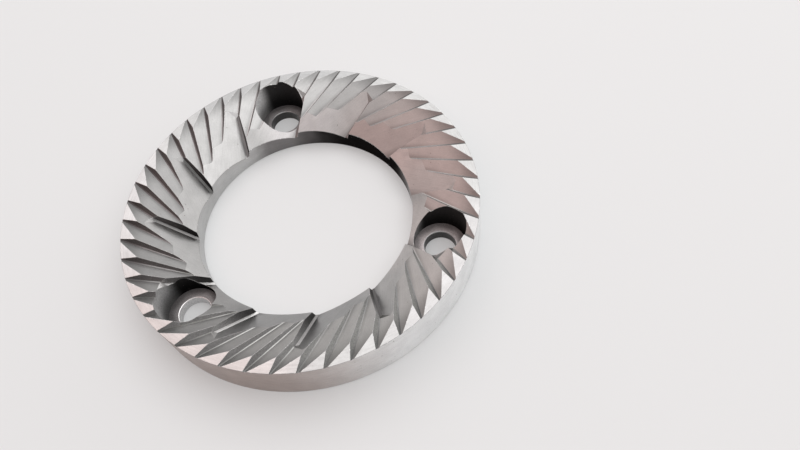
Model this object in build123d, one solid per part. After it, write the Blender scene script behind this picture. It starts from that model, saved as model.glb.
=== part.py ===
from build123d import *
import os
from math import cos, radians, sin, tan

# Flat burr of a coffee grinder: a hardened steel ring with cutting teeth on one face.
# Origin at the centre of the flat back face, +Z through the teeth, +X through a screw hole.
# Plan angles of tooth walls are measured from the inward radius towards +Y, at a groove on +X.

# Ring
outer_diameter = 64.0
bore_diameter = 40.0
thickness = 8.8
edge_break = 0.25

# Screw holes with flat-bottomed head pockets
screw_count = 3
screw_circle_diameter = 51.2
screw_diameter = 5.0
screw_clearance = 0.6
head_diameter = 8.5
head_clearance = 0.8
head_seat_thickness = 2.0

# Grinding teeth: fine V grooves that run out in a notch at the rim
tooth_count = 48
rim_notch_width = 0.6
fine_root_width = 0.2
fine_steep_plan_angle = 16.0
fine_steep_slope = 46.0
fine_gentle_plan_angle = 53.0
fine_gentle_slope = 30.0
fine_overrun_inward = 3.0
fine_overrun_outward = 2.0

# Breaker teeth: every fourth groove goes on as a deep cut to the bore, with a sloped end on a circle
breaker_count = 12
breaker_steep_plan_angle = 2.3
breaker_steep_slope = 73.7
breaker_gentle_plan_angle = 53.0
breaker_gentle_slope = 41.1
breaker_root_bore_angle = 12.5
breaker_root_depth = 6.3
breaker_root_width = 0.5
breaker_circle_diameter = 57.4
breaker_end_slope = 45.0
breaker_overrun_inward = 5.0
breaker_overrun_outward = 3.0

# Turn from the groove that leads a breaker to the screw hole after it
groove_to_screw_angle = 17.4

outer_radius = outer_diameter / 2
bore_radius = bore_diameter / 2
breaker_circle_radius = breaker_circle_diameter / 2
screw_circle_radius = screw_circle_diameter / 2
screw_hole_radius = (screw_diameter + screw_clearance) / 2
head_pocket_radius = (head_diameter + head_clearance) / 2
clear_height = 2 * thickness
from_base = (Align.CENTER, Align.CENTER, Align.MIN)


# A wall that falls towards +Y has side 1, a wall that falls towards -Y has side -1.
def wall_normal(plan_angle, slope, side):
    level = side * sin(radians(slope))
    across = level * cos(radians(plan_angle))
    return Vector(level * sin(radians(plan_angle)), across, cos(radians(slope)))


# Straight distance between neighbours in a ring of cuts.
def spacing(radius, count):
    return 2 * radius * sin(radians(180 / count))


# A V cut with its walls through one point, a steep wall and a gentle wall of given reach, and a flat root.
def v_cut(point, steep, gentle, root_width, inward, outward, reach):
    along = steep.cross(gentle).normalized()
    if along.X > 0:
        along = along * -1
    across = along.cross(Vector(0, 0, 1)).normalized()
    upward = across.cross(along)
    up_steep = along.cross(steep)
    up_gentle = along.cross(gentle)
    up_steep = up_steep * (1 / up_steep.dot(upward))
    up_gentle = up_gentle * (1 / up_gentle.dot(upward))
    root_rise = root_width / (up_gentle - up_steep).dot(across)
    start = point - along * outward
    section = Polyline(
        start + up_steep * root_rise,
        start + up_gentle * root_rise,
        start + up_gentle * (reach / up_gentle.dot(across)),
        start + across * reach + upward * clear_height,
        start + up_steep * clear_height,
        close=True,
    )
    return extrude(make_face(section), amount=inward + outward, dir=along)


# Fine groove on +X, its walls placed by the rim notch
fine_steep = wall_normal(fine_steep_plan_angle, fine_steep_slope, 1)
fine_gentle = wall_normal(fine_gentle_plan_angle, fine_gentle_slope, -1)
steep_fall = fine_steep.Y / fine_steep.Z
gentle_fall = -fine_gentle.Y / fine_gentle.Z
notch_depth = rim_notch_width / (1 / steep_fall + 1 / gentle_fall)
notch_root_y = notch_depth / steep_fall - rim_notch_width / 2
fine_cut = v_cut(
    Vector(outer_radius, notch_root_y, thickness - notch_depth),
    fine_steep,
    fine_gentle,
    fine_root_width,
    outer_radius - bore_radius + fine_overrun_inward,
    fine_overrun_outward,
    spacing(outer_radius, tooth_count),
)

# Breaker cut that follows the groove on +X, its walls placed at the bore
breaker_root_x = bore_radius * cos(radians(breaker_root_bore_angle))
breaker_root_y = bore_radius * sin(radians(breaker_root_bore_angle))
breaker_cut = v_cut(
    Vector(breaker_root_x, breaker_root_y, thickness - breaker_root_depth),
    wall_normal(breaker_steep_plan_angle, breaker_steep_slope, 1),
    wall_normal(breaker_gentle_plan_angle, breaker_gentle_slope, -1),
    breaker_root_width,
    breaker_overrun_inward,
    breaker_circle_radius - bore_radius + breaker_overrun_outward,
    spacing(bore_radius, breaker_count),
)
breaker_end_spread = thickness / tan(radians(breaker_end_slope))
breaker_cut &= Cone(
    breaker_circle_radius - breaker_end_spread,
    breaker_circle_radius + breaker_end_spread,
    clear_height,
    align=from_base,
)

# Ring with its back edges broken
ring = Cylinder(outer_radius, thickness, align=from_base)
ring -= Cylinder(bore_radius, thickness, align=from_base)
back_face = ring.faces().sort_by(Axis.Z)[0]
ring = chamfer(back_face.edges(), edge_break)

# Teeth
cuts = []
for tooth in range(tooth_count):
    cuts.append(Rot(Z=tooth * 360 / tooth_count - groove_to_screw_angle) * fine_cut)
for breaker in range(breaker_count):
    cuts.append(Rot(Z=breaker * 360 / breaker_count - groove_to_screw_angle) * breaker_cut)
ring -= cuts

# Screw holes
for screw in range(screw_count):
    place = Rot(Z=screw * 360 / screw_count) * Pos(X=screw_circle_radius)
    ring -= place * Cylinder(screw_hole_radius, thickness, align=from_base)
    ring -= place * Pos(Z=head_seat_thickness) * Cylinder(head_pocket_radius, thickness, align=from_base)

os.makedirs("parts", exist_ok=True)
export_step(ring, "parts/burr_ring.step")
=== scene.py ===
import bpy, bmesh
from math import atan2, cos, degrees, inf, pi, radians, sin
from mathutils import Matrix, Vector


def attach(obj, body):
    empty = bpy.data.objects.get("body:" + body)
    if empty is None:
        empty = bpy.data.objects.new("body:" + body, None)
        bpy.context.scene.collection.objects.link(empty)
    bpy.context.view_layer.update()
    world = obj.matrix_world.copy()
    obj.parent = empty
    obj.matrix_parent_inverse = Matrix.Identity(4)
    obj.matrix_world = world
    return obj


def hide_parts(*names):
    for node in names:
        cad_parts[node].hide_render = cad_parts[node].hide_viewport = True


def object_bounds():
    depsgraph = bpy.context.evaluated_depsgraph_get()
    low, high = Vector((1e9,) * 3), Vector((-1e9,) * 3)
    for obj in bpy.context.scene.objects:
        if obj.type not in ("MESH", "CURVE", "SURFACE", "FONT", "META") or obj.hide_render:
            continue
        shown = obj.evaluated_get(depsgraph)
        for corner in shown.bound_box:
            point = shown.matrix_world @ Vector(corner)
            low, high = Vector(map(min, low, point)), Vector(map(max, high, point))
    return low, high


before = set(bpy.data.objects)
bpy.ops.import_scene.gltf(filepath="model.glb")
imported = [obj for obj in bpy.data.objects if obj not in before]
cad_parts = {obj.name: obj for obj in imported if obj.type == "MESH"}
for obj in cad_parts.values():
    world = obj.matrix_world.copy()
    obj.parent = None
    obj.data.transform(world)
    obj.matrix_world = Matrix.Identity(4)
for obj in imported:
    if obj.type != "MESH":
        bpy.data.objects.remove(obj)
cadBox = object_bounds()
scene = bpy.context.scene
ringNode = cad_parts["burr_ring"]
mm = 0.001

print("stage 1: ring mesh")

ring = {
    "weld": 0.002,           # mm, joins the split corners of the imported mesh
    "flatWithin": 0.6,       # deg, triangles closer than this are one facet
    "screwCircle": 25.6,     # mm, radius
    "screwStep": 120,        # deg from one screw to the next
    "holeReach": 3.2,        # mm from the screw centre
    "rimFrom": 31.5,         # mm, an upright face further out is the rim
    "boreTo": 20.2,          # mm, an upright face further in is the bore
    "seatBelow": 5,          # mm, a level face lower than this is a screw seat
    "levelTo": 1,            # deg of slope
    "uprightFrom": 85,       # deg of slope
    "backFrom": 100,         # deg of slope, such faces look down
    "endFacing": 0.4,        # a fine wall's slope that faces the axis more than this is a breaker's end
    "crestRound": 0.025,     # mm, honed tooth crests
    "rimRound": 0.06,        # mm, rim and bore edges
    "pocketRound": 0.06,     # mm
    "holeRound": 0.18,       # mm, broken edge of the screw holes
    "roundSteps": 2,
    "roundFrom": 20,         # deg, edges that turn less, or inwards, stay sharp
    "shortest": 0.3,         # mm, edges shorter than this stay sharp
    "creaseFrom": 18,        # deg, sharper turns than this aren't shaded smooth
}

# finish of a facet by its slope in degrees
slopeKinds = {
    "land": 0,
    "fineRoot": 13.2,
    "fineFlank": 30,
    "breakerFlank": 41.1,
    "fineWall": 46,
    "breakerWall": 73.7,
}

# turn from a facet's fall line to the way its groove was ground, in degrees
grindTurn = {
    "fineFlank": -66.1,
    "fineWall": 76.9,
    "fineRoot": 0,
    "breakerFlank": -49.0,
    "breakerWall": 80.4,
    "breakerRoot": 0,
    "breakerEnd": 90,
}

uprightKinds = ("rim", "bore", "pocket", "hole")
screwKinds = ("pocket", "hole", "seat")  # turned about a screw's axis


def screwPlace(point):
    step = radians(ring["screwStep"])
    turn = round(atan2(point.y, point.x) / step) * step
    return Vector((cos(turn), sin(turn), 0)) * ring["screwCircle"]


def turnedAxis(kind, point):
    return screwPlace(point) if kind in screwKinds else Vector((0, 0, 0))


def uprightKind(flat):
    if flat.length > ring["rimFrom"]:
        return "rim"
    if flat.length < ring["boreTo"]:
        return "bore"
    return "hole" if (flat - screwPlace(flat)).length < ring["holeReach"] else "pocket"


def facetKind(face):
    centre = face.calc_center_median()
    flat = Vector((centre.x, centre.y, 0))
    slope = degrees(face.normal.angle((0, 0, 1)))
    if slope > ring["backFrom"]:
        return "back"
    if slope > ring["uprightFrom"]:
        return uprightKind(flat)
    if slope < ring["levelTo"] and centre.z < ring["seatBelow"]:
        return "seat"
    kind = min(slopeKinds, key=lambda name: abs(slopeKinds[name] - slope))
    outward = flat.normalized()
    # a breaker's root is as steep as a fine flank but leans the other way round the ring,
    # and its outer end is about as steep as a fine wall but faces the axis
    if kind == "fineFlank" and outward.cross(face.normal).z > 0:
        return "breakerRoot"
    if kind == "fineWall" and -outward.dot(face.normal) > ring["endFacing"]:
        return "breakerEnd"
    return kind


def cleanRing():
    bm = bmesh.new()
    bm.from_mesh(ringNode.data)
    bmesh.ops.scale(bm, vec=(1 / mm, 1 / mm, 1 / mm), verts=bm.verts)  # work in mm
    bmesh.ops.remove_doubles(bm, verts=bm.verts, dist=ring["weld"])
    bmesh.ops.dissolve_limit(bm, angle_limit=radians(ring["flatWithin"]), verts=bm.verts, edges=bm.edges)
    bm.normal_update()
    return bm


def edgeRound(edge, kinds):
    pair = {kinds[face] for face in edge.link_faces}
    angle = degrees(edge.calc_face_angle_signed(0))
    if angle < ring["roundFrom"] or edge.calc_length() < ring["shortest"]:
        return 0
    if len(pair) == 1 or "back" in pair:
        return 0
    if "hole" in pair:
        return ring["holeRound"]
    if "pocket" in pair:
        return ring["pocketRound"]
    return ring["rimRound"] if pair & {"rim", "bore"} else ring["crestRound"]


def groundAxes(face, kind):
    fall = Vector((face.normal.x, face.normal.y, 0)).normalized()
    along = Matrix.Rotation(radians(grindTurn[kind]), 3, "Z") @ fall
    along = (along - face.normal * along.dot(face.normal)).normalized()
    across = face.normal.cross(along)
    return along, -across if across.z < 0 else across


def turnedPlace(face, kind, point):
    centre = turnedAxis(kind, point)
    arm = Vector((point.x, point.y, 0)) - centre
    middle = face.calc_center_median() - centre
    turn = atan2(middle.y, middle.x)
    turn += (atan2(arm.y, arm.x) - turn + pi) % (2 * pi) - pi  # no jump within a face
    return turn * arm.length, point.z if kind in uprightKinds else arm.length


# grain runs along U, and along V up from the groove's root, or up or out on a turned face, in mm
# around is the way out from the ring's axis, in a pocket from the screw's
def layGrain(bm, kinds):
    grain = bm.loops.layers.uv.new("grain")
    around = bm.loops.layers.uv.new("around")
    rootLine = {}
    for face in bm.faces:
        kind = kinds[face]
        if kind in grindTurn:
            along, across = groundAxes(face, kind)
        for loop in face.loops:
            point = loop.vert.co
            arm = point - screwPlace(point) if kind == "pocket" else point
            loop[around].uv = arm.xy.normalized()
            if kind in grindTurn:
                loop[grain].uv = (point.dot(along), point.dot(across))
                rootLine[kind] = min(rootLine.get(kind, inf), loop[grain].uv.y)
            else:
                loop[grain].uv = turnedPlace(face, kind, point)
    for face in bm.faces:
        for loop in face.loops:
            loop[grain].uv.y -= rootLine.get(kinds[face], 0)


bm = cleanRing()
kinds = {face: facetKind(face) for face in bm.faces}
finishNames = sorted(set(kinds.values())) + ["edge", "holeEdge"]
edgeIndex, holeEdgeIndex = finishNames.index("edge"), finishNames.index("holeEdge")
for face in bm.faces:
    face.material_index = finishNames.index(kinds[face])
    face.smooth = True

biggest = max(ring[key] for key in ring if key.endswith("Round"))
weightLayer = bm.edges.layers.float.new("bevel_weight_edge")
for edge in bm.edges:
    edge[weightLayer] = edgeRound(edge, kinds) / biggest
    edge.smooth = edge[weightLayer] > 0 or abs(edge.calc_face_angle_signed(0)) < radians(ring["creaseFrom"])
layGrain(bm, kinds)

bmesh.ops.scale(bm, vec=(mm, mm, mm), verts=bm.verts)
mesh = bpy.data.meshes.new("burrRing")
for name in finishNames:
    mesh.materials.append(None)  # a slot per finish, filled in stage 2
bm.to_mesh(mesh)
bm.free()
burr = bpy.data.objects.new("burrRing", mesh)
scene.collection.objects.link(burr)

rounding = burr.modifiers.new("rounding", "BEVEL")
rounding.limit_method = "WEIGHT"
rounding.width = biggest * mm
rounding.segments = ring["roundSteps"]
rounding.use_clamp_overlap = False
rounding.miter_outer = "MITER_SHARP"
rounding.material = edgeIndex


def keepInBox(bm):
    outerRadius, top = cadBox[1][0], cadBox[1][2]
    for vert in bm.verts:
        vert.co.z = min(vert.co.z, top)
        reach = Vector((vert.co.x, vert.co.y)).length
        if reach > outerRadius:
            vert.co.x *= outerRadius / reach
            vert.co.y *= outerRadius / reach


def exactNormal(face, point):
    kind = finishNames[face.material_index]
    if kind not in uprightKinds:
        return face.normal.copy()
    centre = turnedAxis(kind, point) * mm
    arm = Vector((point.x - centre.x, point.y - centre.y, 0)).normalized()
    return arm if kind == "rim" else -arm


# true normals on facets and turned faces, and a rounded edge shades from one to the other
def shadingNormals(bm):
    leading = {}
    for vert in bm.verts:
        facets = [face for face in vert.link_faces if face.material_index != edgeIndex]
        if facets:
            leading[vert.index] = exactNormal(max(facets, key=lambda face: face.calc_area()), vert.co)
    normals = []
    for face in bm.faces:
        for loop in face.loops:
            if face.material_index == edgeIndex:
                normals.append(leading.get(loop.vert.index, Vector((0, 0, 0))))
            else:
                normals.append(exactNormal(face, loop.vert.co))
    return normals


def markHoleEdges(bm):
    for face in bm.faces:
        middle = face.calc_center_median()
        middle.z = 0
        fromScrew = (middle - screwPlace(middle) * mm).length
        if face.material_index == edgeIndex and fromScrew < ring["holeReach"] * mm:
            face.material_index = holeEdgeIndex


bm = bmesh.new()
bm.from_object(burr, bpy.context.evaluated_depsgraph_get())
burr.modifiers.remove(rounding)
keepInBox(bm)
bm.normal_update()
normals = shadingNormals(bm)
markHoleEdges(bm)
bm.to_mesh(mesh)
bm.free()
mesh.normals_split_custom_set(normals)

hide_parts("burr_ring")
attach(burr, "root")

print("stage 2: steel finishes")

# colour, least and most roughness, how far it is bare metal
steel = {
    "land": ((0.475, 0.472, 0.468), 0.28, 0.40, 1),
    "fineFlank": ((0.425, 0.421, 0.417), 0.28, 0.38, 1),
    "breakerFlank": ((0.55, 0.545, 0.54), 0.32, 0.42, 1),
    "breakerEnd": ((0.45, 0.446, 0.442), 0.36, 0.46, 1),
    "fineRoot": ((0.26, 0.256, 0.253), 0.34, 0.44, 1),
    "breakerRoot": ((0.20, 0.195, 0.195), 0.30, 0.40, 1),
    "fineWall": ((0.27, 0.265, 0.262), 0.34, 0.46, 1),
    "breakerWall": ((0.52, 0.514, 0.51), 0.50, 0.64, 1),
    "rim": ((0.52, 0.515, 0.51), 0.30, 0.42, 1),
    "bore": ((0.60, 0.597, 0.593), 0.30, 0.42, 1),
    # the pocket's pale colour is painted light falling on its walls
    "pocket": ((0.95, 0.945, 0.945), 0.50, 0.64, 0.2),
    "hole": ((0.09, 0.088, 0.087), 0.36, 0.46, 1),
    "seat": ((0.36, 0.338, 0.338), 0.50, 0.64, 0.35),
    "back": ((0.44, 0.436, 0.432), 0.32, 0.46, 1),
    "edge": ((0.46, 0.456, 0.452), 0.34, 0.44, 1),
    "holeEdge": ((0.40, 0.395, 0.393), 0.26, 0.36, 1),
}

# painted reflections and painted shade, chosen to match the photograph: colour, azimuth of the middle,
# where it fades out and where it is full in degrees, how far it is bare metal
paintedLightPatches = {
    "land": [((0.56, 0.55, 0.55), 205, 50, 20, 1), ((0.56, 0.52, 0.51), 256, 42, 18, 1),
             ((0.40, 0.40, 0.40), 118, 42, 15, 1), ((0.50, 0.49, 0.49), 348, 34, 14, 1)],
    "fineFlank": [((0.56, 0.55, 0.54), 325, 75, 30, 1), ((0.47, 0.44, 0.43), 38, 42, 22, 1)],
    "breakerFlank": [((0.41, 0.41, 0.41), 290, 42, 20, 1), ((0.59, 0.55, 0.54), 66, 34, 14, 1),
                     ((0.69, 0.67, 0.67), 112, 26, 12, 1), ((0.68, 0.66, 0.65), 357, 26, 12, 1)],
    "breakerEnd": [((0.90, 0.89, 0.88), 232, 40, 10, 1), ((0.18, 0.18, 0.17), 322, 40, 10, 1),
                   ((0.67, 0.62, 0.60), 18, 30, 10, 1), ((0.64, 0.63, 0.63), 140, 28, 12, 1)],
    "fineRoot": [((0.16, 0.14, 0.14), 180, 56, 22, 1), ((0.45, 0.44, 0.44), 124, 30, 12, 1),
                 ((0.21, 0.21, 0.21), 335, 26, 12, 1), ((0.41, 0.38, 0.37), 8, 26, 10, 1),
                 ((0.41, 0.41, 0.40), 275, 26, 10, 1), ((0.17, 0.17, 0.16), 245, 17, 8, 1)],
    "breakerRoot": [((0.95, 0.94, 0.93), 263, 39, 13, 1), ((0.10, 0.099, 0.097), 175, 30, 10, 1),
                    ((0.33, 0.31, 0.31), 354, 26, 12, 1)],
    "fineWall": [((0.21, 0.20, 0.20), 186, 66, 30, 1), ((0.41, 0.41, 0.40), 325, 48, 18, 1)],
    "breakerWall": [((0.15, 0.14, 0.14), 185, 58, 28, 0.7)],
    "rim": [((0.98, 0.98, 0.98), 320, 82, 48, 1), ((0.45, 0.37, 0.34), 258, 64, 10, 1)],
    "bore": [((0.25, 0.24, 0.24), 116, 30, 12, 1), ((0.013, 0.012, 0.012), 70, 52, 18, 0)],
    "pocket": [((0.052, 0.050, 0.050), 72, 100, 66, 0)],
    "seat": [((0.62, 0.57, 0.57), 0, 40, 20, 0.5)],
    "holeEdge": [((0.98, 0.96, 0.96), 240, 60, 40, 1)],
    "hole": [((0.74, 0.73, 0.73), 240, 40, 20, 1)],
}

# painted shade low in a groove, low in a pocket and in the corner of a seat: where along V
# it starts and where it is full in mm, and by how much
paintedCornerShade = {
    "fineFlank": (1.3, 0, 0.36),
    "breakerFlank": (1.7, 0, 0.42),
    "fineWall": (0.8, 0, 0.25),
    "breakerWall": (1.5, 0, 0.2),
    "seat": (3.2, 4.6, 0.5),
    "pocket": (7.2, 2.8, 0.7),
}

# darker towards the rim or the bore: where it starts and where it is full in mm, and by how much
radialShade = {
    "fineFlank": (28.0, 31.6, 0.48),
    "fineWall": (28.5, 31.5, 0.2),
    "fineRoot": (26.5, 31.0, 0.6),
    "breakerWall": (27.5, 20.5, 0.82),
}

# painted shade on one side of the ring: azimuth of that side, where it starts and where it is full
# in mm from the axis, and by how much
paintedSideShade = {"pocket": (240, 0, 20, 0.45)}

# rough faces with a mottled grain
roughFaces = ("fineWall", "breakerWall", "pocket", "hole", "seat")

marks = {
    "streaks": (0.35, 5.0),      # per mm along and across the grain
    "streakShade": 0.05,         # how much darker the marks are
    "streakDepth": 0.15,         # strength of the bump
    "streakHeight": 0.01,        # mm
    "cloudSize": 2.6,            # mm, soft mottling
    "cloudShade": 0.09,
    "patchSize": 5,              # mm, raggedness of a patch's edge
    "patchRagged": 0.12,
    "grainSize": 0.22,           # mm, fine mottling
    "grainShade": (0.07, 0.26),  # on smooth and on rough faces
    "shadeSpan": (0.35, 0.65),   # noise levels where a shade starts and where it is full
    "roughSpan": (0.3, 0.7),     # noise levels of the least and the most roughness
    "speckSize": 0.35,           # mm
    "speckFrom": 0.765,          # noise level where a speck begins
    "speckColour": (0.16, 0.14, 0.13),
    "sparkFrom": 0.64,           # bright nicks along edges
    "sparkColour": (0.90, 0.89, 0.88),
    "spotFade": 0.03,            # from a spot's outline to its full colour
    # finer layers within each noise
    "detail": {"streak": 4, "cloud": 4, "patch": 3, "grain": 2, "speck": 1},
}
black = (0, 0, 0)


def flatWay(azimuth):
    return Vector((cos(radians(azimuth)), sin(radians(azimuth)), 0))


def node(tree, kind, **settings):
    made = tree.nodes.new("ShaderNode" + kind)
    for key, value in settings.items():
        setattr(made, key, value)
    return made


def level(tree, source, low, high, least, most, kind="LINEAR"):
    made = node(tree, "MapRange", interpolation_type=kind)
    for key, value in (("From Min", low), ("From Max", high), ("To Min", least), ("To Max", most)):
        made.inputs[key].default_value = value
    tree.links.new(source, made.inputs["Value"])
    return made.outputs["Result"]


def tint(tree, below, amount, colour):
    made = node(tree, "Mix", data_type="RGBA")
    tree.links.new(amount, made.inputs["Factor"])
    if isinstance(below, tuple):
        made.inputs["A"].default_value = (*below, 1)
    else:
        tree.links.new(below, made.inputs["A"])
    made.inputs["B"].default_value = (*colour, 1)
    return made.outputs["Result"]


def darken(tree, below, source, start, end, amount, kind="SMOOTHSTEP"):
    return tint(tree, below, level(tree, source, start, end, 0, amount, kind), black)


def toward(tree, source, way):
    made = node(tree, "VectorMath", operation="DOT_PRODUCT")
    made.inputs[1].default_value = way
    tree.links.new(source, made.inputs[0])
    return made.outputs["Value"]


def streakNoise(tree, uv):
    stretch = node(tree, "Mapping")
    stretch.inputs["Scale"].default_value = (*marks["streaks"], 1)
    made = node(tree, "TexNoise", noise_dimensions="2D")
    made.inputs["Scale"].default_value = 1
    made.inputs["Detail"].default_value = marks["detail"]["streak"]
    tree.links.new(uv, stretch.inputs["Vector"])
    tree.links.new(stretch.outputs["Vector"], made.inputs["Vector"])
    return made.outputs["Fac"]


def mottle(tree, place, kind):
    made = node(tree, "TexNoise")
    made.inputs["Scale"].default_value = 1 / (marks[kind + "Size"] * mm)
    made.inputs["Detail"].default_value = marks["detail"][kind]
    tree.links.new(place, made.inputs["Vector"])
    return made.outputs["Fac"]


# lays the painted reflections and painted shade on the steel colour, with less bare metal where they ask
# for it
def layPaintedLight(tree, shader, place, name):
    shade, bare = steel[name][0], steel[name][-1]
    way = node(tree, "UVMap", uv_map="around").outputs["UV"]
    for colour, azimuth, fadeOut, full, patchBare in paintedLightPatches.get(name, []):
        ragged = node(tree, "Math", operation="MULTIPLY_ADD")
        ragged.inputs[1].default_value = marks["patchRagged"]
        tree.links.new(mottle(tree, place, "patch"), ragged.inputs[0])
        tree.links.new(toward(tree, way, flatWay(azimuth)), ragged.inputs[2])
        middle = marks["patchRagged"] / 2
        reach = (ragged.outputs[0], cos(radians(fadeOut)) + middle, cos(radians(full)) + middle)
        shade = tint(tree, shade, level(tree, *reach, 0, 1, "SMOOTHSTEP"), colour)
        if patchBare != bare:
            tree.links.new(level(tree, *reach, bare, patchBare, "SMOOTHSTEP"), shader.inputs["Metallic"])
    return shade


# lays the painted shade in corners and on one side of the ring, and the darkening towards the rim or the
# bore
def layShades(tree, shade, uv, place, name):
    if name in paintedCornerShade:
        up = node(tree, "SeparateXYZ")
        tree.links.new(uv, up.inputs["Vector"])
        shade = darken(tree, shade, up.outputs["Y"], *paintedCornerShade[name])
    if name in radialShade:
        flat = node(tree, "VectorMath", operation="MULTIPLY")
        flat.inputs[1].default_value = (1 / mm, 1 / mm, 0)
        radius = node(tree, "VectorMath", operation="LENGTH")
        tree.links.new(place, flat.inputs[0])
        tree.links.new(flat.outputs["Vector"], radius.inputs[0])
        shade = darken(tree, shade, radius.outputs["Value"], *radialShade[name])
    if name in paintedSideShade:
        azimuth, *reach = paintedSideShade[name]
        shade = darken(tree, shade, toward(tree, place, flatWay(azimuth) / mm), *reach)
    return shade


def steelFinish(name):
    leastRough, mostRough, bare = steel[name][1:]
    material = bpy.data.materials.new(name + "Steel")
    material.use_nodes = True
    tree = material.node_tree
    shader = tree.nodes["Principled BSDF"]
    shader.inputs["Metallic"].default_value = bare
    shader.inputs["Specular IOR Level"].default_value = 0
    uv = node(tree, "UVMap", uv_map="grain").outputs["UV"]
    place = node(tree, "TexCoord").outputs["Object"]
    streaks = streakNoise(tree, uv)

    shade = layPaintedLight(tree, shader, place, name)
    mottling = (
        (streaks, marks["streakShade"]),
        (mottle(tree, place, "cloud"), marks["cloudShade"]),
        (mottle(tree, place, "grain"), marks["grainShade"][name in roughFaces]),
    )
    for source, amount in mottling:
        shade = darken(tree, shade, source, *marks["shadeSpan"], amount, "LINEAR")
    shade = layShades(tree, shade, uv, place, name)

    spot = "spark" if name == "edge" else "speck"
    start = marks[spot + "From"]
    spots = level(tree, mottle(tree, place, "speck"), start, start + marks["spotFade"], 0, 1)
    shade = tint(tree, shade, spots, marks[spot + "Colour"])
    tree.links.new(shade, shader.inputs["Base Color"])
    rough = level(tree, streaks, *marks["roughSpan"], leastRough, mostRough)
    tree.links.new(rough, shader.inputs["Roughness"])

    bump = node(tree, "Bump")
    bump.inputs["Strength"].default_value = marks["streakDepth"]
    bump.inputs["Distance"].default_value = marks["streakHeight"] * mm
    tree.links.new(streaks, bump.inputs["Height"])
    tree.links.new(bump.outputs["Normal"], shader.inputs["Normal"])
    return material


for index, name in enumerate(finishNames):
    mesh.materials[index] = steelFinish(name)

print("stage 3: floor, light and camera")

stage = {
    "floorSize": 8,              # m
    "floorColour": (0.50, 0.508, 0.512),
    "floorRough": 0.9,
    "floorShine": 0.1,
    "floorLift": 0.22,           # extra white that the view and reflections see
    # two soft panels: where each hangs, its two sides, its turn and its power
    "panels": {
        "overhead": ((0.053, 0.331, 0.60), (1.35, 0.70), (0, 0, -22), 3.5),
        "window": ((0.186, 0.746, 0.220), (0.78, 0.28), (74, 0, 166), 0.44),
    },
}


def paperFinish():
    paper = bpy.data.materials.new("paper")
    paper.use_nodes = True
    tree = paper.node_tree
    matt = tree.nodes["Principled BSDF"]
    matt.inputs["Base Color"].default_value = (*stage["floorColour"], 1)
    matt.inputs["Roughness"].default_value = stage["floorRough"]
    matt.inputs["Specular IOR Level"].default_value = stage["floorShine"]
    path = node(tree, "LightPath")
    seen = path.outputs["Is Camera Ray"]
    for ray in ("Is Glossy Ray", "Is Transmission Ray"):
        either = node(tree, "Math", operation="MAXIMUM")
        tree.links.new(seen, either.inputs[0])
        tree.links.new(path.outputs[ray], either.inputs[1])
        seen = either.outputs[0]
    lift = node(tree, "Math", operation="MULTIPLY")
    lift.inputs[1].default_value = stage["floorLift"]
    tree.links.new(seen, lift.inputs[0])
    matt.inputs["Emission Color"].default_value = (1, 1, 1, 1)
    tree.links.new(lift.outputs[0], matt.inputs["Emission Strength"])
    return paper


floorMesh = bpy.data.meshes.new("floor")
half = stage["floorSize"] / 2
corners = [(-half, -half, 0), (half, -half, 0), (half, half, 0), (-half, half, 0)]
floorMesh.from_pydata(corners, [], [(0, 1, 2, 3)])
floorMesh.materials.append(paperFinish())
floor = bpy.data.objects.new("floor", floorMesh)
scene.collection.objects.link(floor)

# the room: paler overhead, a warm wall to the left, a dark flag in front
room = {
    "horizon": (0.60, 0.59, 0.585),
    "overhead": (0.86, 0.845, 0.84),
    "overheadFull": 0.6,         # sine of the elevation where that colour is reached
    "warm": (0.98, 0.75, 0.71),
    "warmWay": (-150, 38),       # azimuth and elevation, deg
    "warmReach": (52, 20),       # deg from that way, where it fades in and where it is full
    "flag": (0.10, 0.095, 0.09),
    "flagWay": (-105, -25),
    "flagReach": (71, 58),
}


def roomSide(tree, below, wayOut, name):
    azimuth, elevation = room[name + "Way"]
    way = flatWay(azimuth) * cos(radians(elevation))
    way.z = sin(radians(elevation))
    fadeIn, full = [cos(radians(angle)) for angle in room[name + "Reach"]]
    amount = level(tree, toward(tree, wayOut, way), fadeIn, full, 0, 1, "SMOOTHSTEP")
    return tint(tree, below, amount, room[name])


world = bpy.data.worlds.new("room")
scene.world = world
world.use_nodes = True
tree = world.node_tree
wayOut = node(tree, "TexCoord").outputs["Generated"]
height = node(tree, "SeparateXYZ")
tree.links.new(wayOut, height.inputs["Vector"])
rise = level(tree, height.outputs["Z"], 0, room["overheadFull"], 0, 1, "SMOOTHSTEP")
walls = tint(tree, room["horizon"], rise, room["overhead"])
for name in ("warm", "flag"):
    walls = roomSide(tree, walls, wayOut, name)
tree.links.new(walls, tree.nodes["Background"].inputs["Color"])

for name, (place, sides, turn, power) in stage["panels"].items():
    lamp = bpy.data.lights.new(name, "AREA")
    lamp.shape = "RECTANGLE"
    lamp.size, lamp.size_y = sides
    lamp.energy = power
    panel = bpy.data.objects.new(name, lamp)
    panel.location = place
    panel.rotation_euler = [radians(angle) for angle in turn]
    panel.visible_camera = False
    scene.collection.objects.link(panel)

camera = {
    "place": (0.04221, -0.05484, 0.09912),  # m
    "turn": (32.419, 5.146, 15.307),        # deg
    "lens": 28.43,                          # mm
    "sensor": 36,                           # mm
    "nearest": 0.005,                       # m, what is closer isn't drawn
}

lens = bpy.data.cameras.new("camera")
lens.lens = camera["lens"]
lens.sensor_width = camera["sensor"]
lens.clip_start = camera["nearest"]
viewer = bpy.data.objects.new("camera", lens)
viewer.location = camera["place"]
viewer.rotation_euler = [radians(angle) for angle in camera["turn"]]
scene.collection.objects.link(viewer)
scene.camera = viewer
scene.view_settings.view_transform = "Standard"
